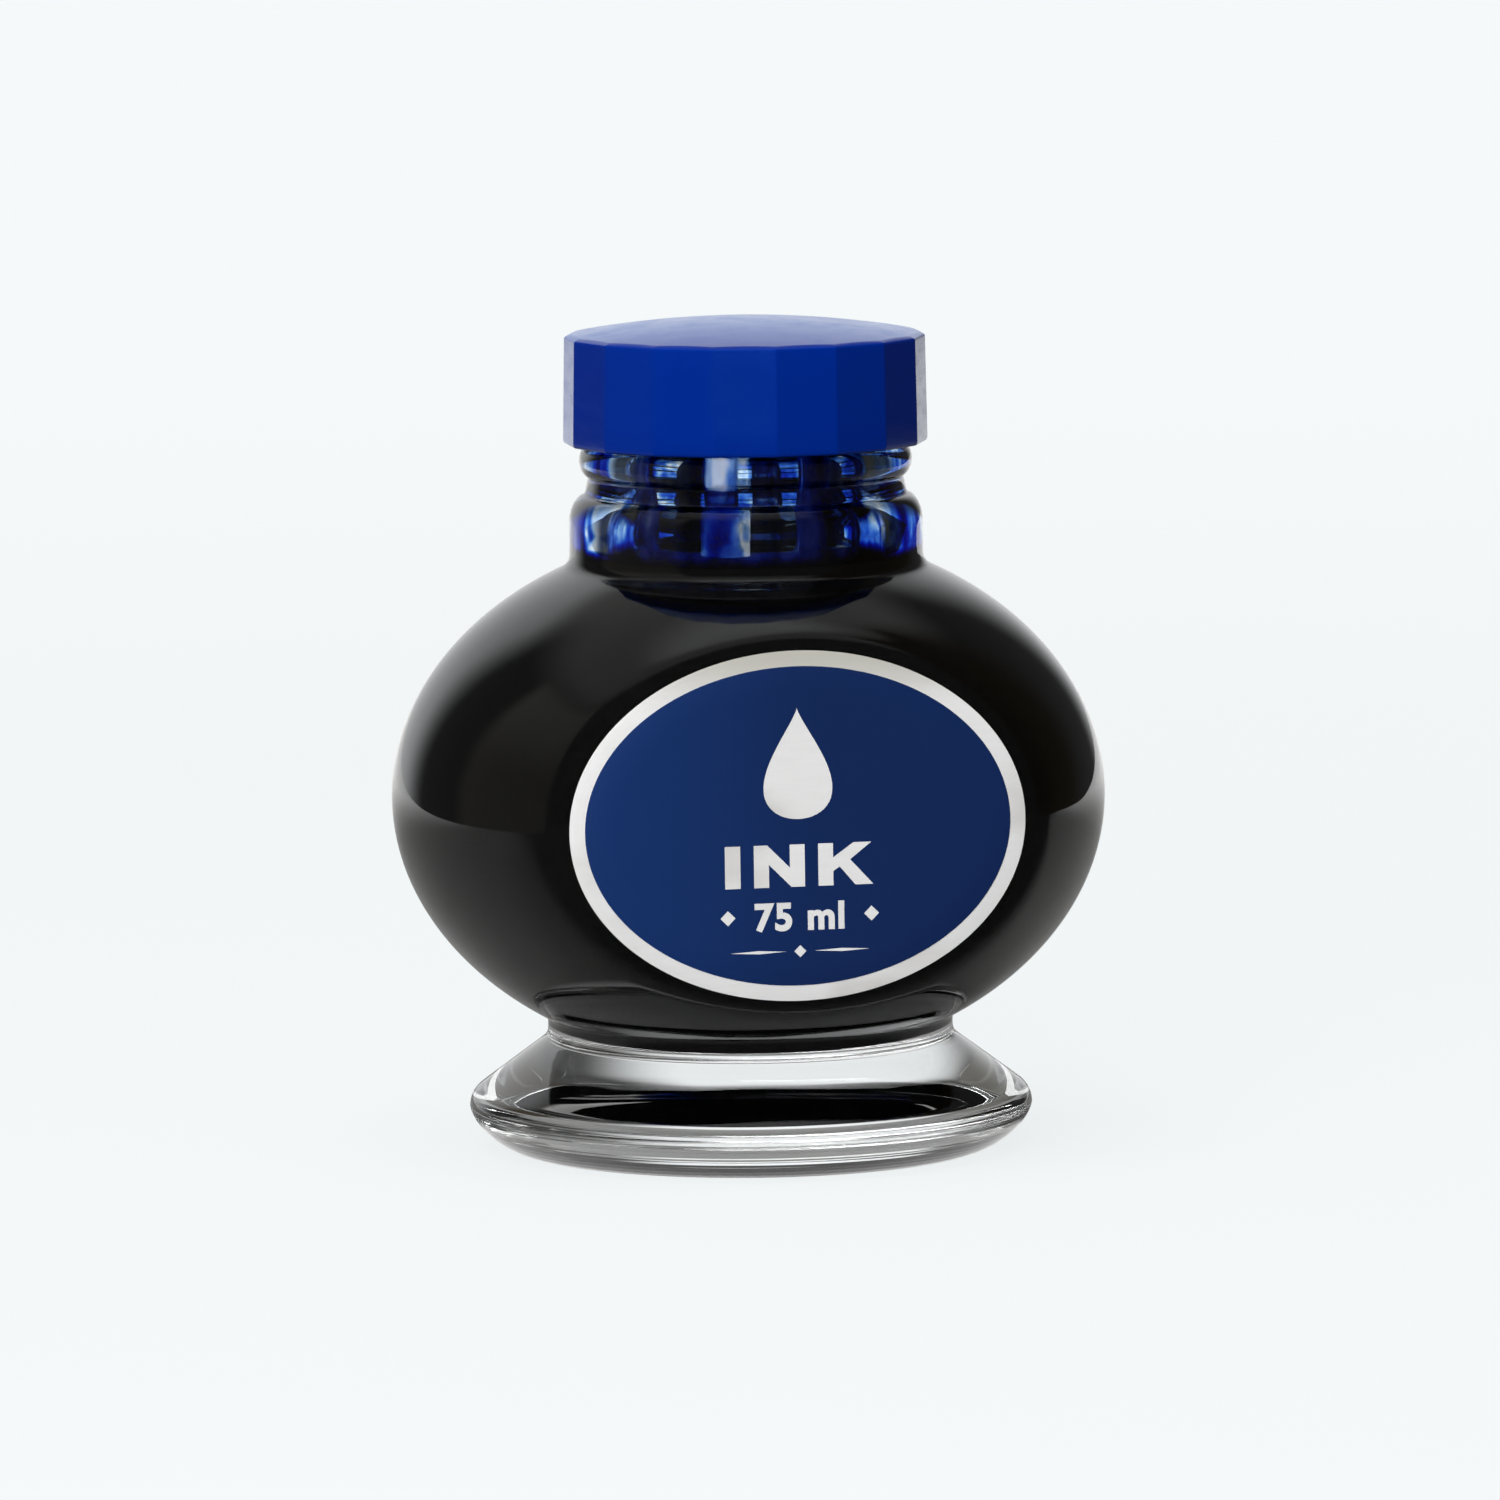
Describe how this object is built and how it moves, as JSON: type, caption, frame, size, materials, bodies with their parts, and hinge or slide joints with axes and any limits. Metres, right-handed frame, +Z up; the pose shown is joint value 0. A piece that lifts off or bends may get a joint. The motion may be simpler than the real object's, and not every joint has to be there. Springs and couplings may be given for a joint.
{
  "type": "ink bottle",
  "caption": "Squat round glass ink bottle on a clear flared foot, with flat label panels, a faceted screw cap and a reservoir insert for dipping or filling a pen.",
  "frame": {"origin": "centre of the foot, in the plane of the table that it stands on", "axes": "+Z up along the neck's axis; the label faces -Y; +X is to the right of someone who reads the label"},
  "size_m": [0.0716, 0.0566, 0.0834],
  "materials": {
    "clear_glass": "clear, polished by the mould",
    "insert_plastic": "translucent plastic wetted with blue ink",
    "ink": "deep blue-black liquid",
    "blue_plastic": "glossy moulded plastic",
    "liner_foam": "matt foamed plastic",
    "silver_foil": "satin foil",
    "blue_print": "printed ink on foil"
  },
  "bodies": {
    "bottle": {"glass_bottle": "clear_glass", "reservoir_insert": "insert_plastic", "ink_fill": "ink", "well_ink": "ink", "label_foil": "silver_foil", "label_print": "blue_print"},
    "liner": {"cap_liner": "liner_foam"},
    "cap": {"cap": "blue_plastic"}
  },
  "joints": [
    {"name": "cap_lift", "type": "slide", "parent": "bottle", "child": "liner", "axis": [0, 0, 1], "range_m": [0, 0.0128]},
    {"name": "cap_turn", "type": "hinge", "parent": "liner", "child": "cap", "pos_m": [0, 0, 0.076], "axis": [0, 0, 1], "range_deg": [0, 1440]}
  ],
  "couplings": [
    {"joint": "cap_lift", "follows": "cap_turn", "m_per_rad": 0.0005093}
  ]
}
